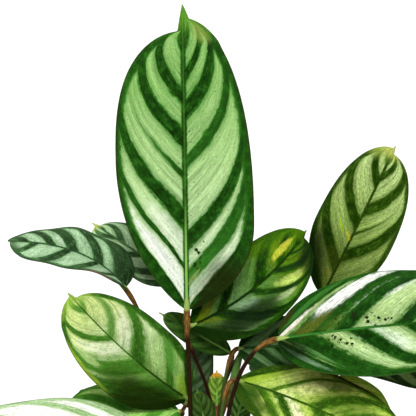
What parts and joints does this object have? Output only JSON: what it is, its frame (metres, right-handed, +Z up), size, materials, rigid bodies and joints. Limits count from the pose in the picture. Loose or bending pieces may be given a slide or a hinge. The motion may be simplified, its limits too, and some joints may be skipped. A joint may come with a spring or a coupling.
{
  "type": "potted house plant",
  "caption": "Bushy prayer plant with oblong, fishbone-striped leaves on thin stalks, growing in potting mix in a plain round clay pot.",
  "frame": {"origin": "centre of the pot's foot, on the surface that the pot stands on", "axes": "+Z up, the plant's fullest side faces -Y, +X to the right of someone who looks at that side"},
  "size_m": [0.3203, 0.2367, 0.3471],
  "materials": {
    "clay": "matte fired clay",
    "potting_mix": "damp and crumbly",
    "leaf": "satin",
    "stalk": "satin",
    "sheath": "satin"
  },
  "bodies": {
    "root": {"back_centre_low_blade": "leaf", "back_centre_low_stalk": "stalk", "back_left_low_blade": "leaf", "back_left_low_stalk": "stalk", "back_right_low_blade": "leaf", "back_right_low_stalk": "stalk", "back_sheath": "sheath", "back_tall_blade": "leaf", "back_tall_stalk": "stalk", "centre_sheath": "sheath", "far_right_blade": "leaf", "far_right_stalk": "stalk", "front_left_sheath": "sheath", "front_right_sheath": "sheath", "inner_left_blade": "leaf", "inner_left_stalk": "stalk", "left_back_blade": "leaf", "left_back_stalk": "stalk", "left_drooping_blade": "leaf", "left_drooping_stalk": "stalk", "left_front_blade": "leaf", "left_front_stalk": "stalk", "left_sheath": "sheath", "low_front_blade": "leaf", "low_front_stalk": "stalk", "low_left_blade": "leaf", "low_left_stalk": "stalk", "low_right_blade": "leaf", "low_right_front_blade": "leaf", "low_right_front_stalk": "stalk", "low_right_stalk": "stalk", "pot": "clay", "potting_mix": "potting_mix", "right_front_blade": "leaf", "right_front_stalk": "stalk", "right_large_blade": "leaf", "right_large_stalk": "stalk", "right_low_back_blade": "leaf", "right_low_back_stalk": "stalk", "right_middle_blade": "leaf", "right_middle_stalk": "stalk", "right_sheath": "sheath", "right_under_blade": "leaf", "right_under_stalk": "stalk", "right_upper_blade": "leaf", "right_upper_stalk": "stalk", "rolled_leaf": "leaf", "small_back_blade": "leaf", "small_back_stalk": "stalk", "tall_centre_blade": "leaf", "tall_centre_stalk": "stalk", "under_left_blade": "leaf", "under_left_stalk": "stalk", "young_centre_blade": "leaf", "young_centre_stalk": "stalk", "young_left_blade": "leaf", "young_left_stalk": "stalk", "young_right_blade": "leaf", "young_right_stalk": "stalk"}
  },
  "joints": []
}
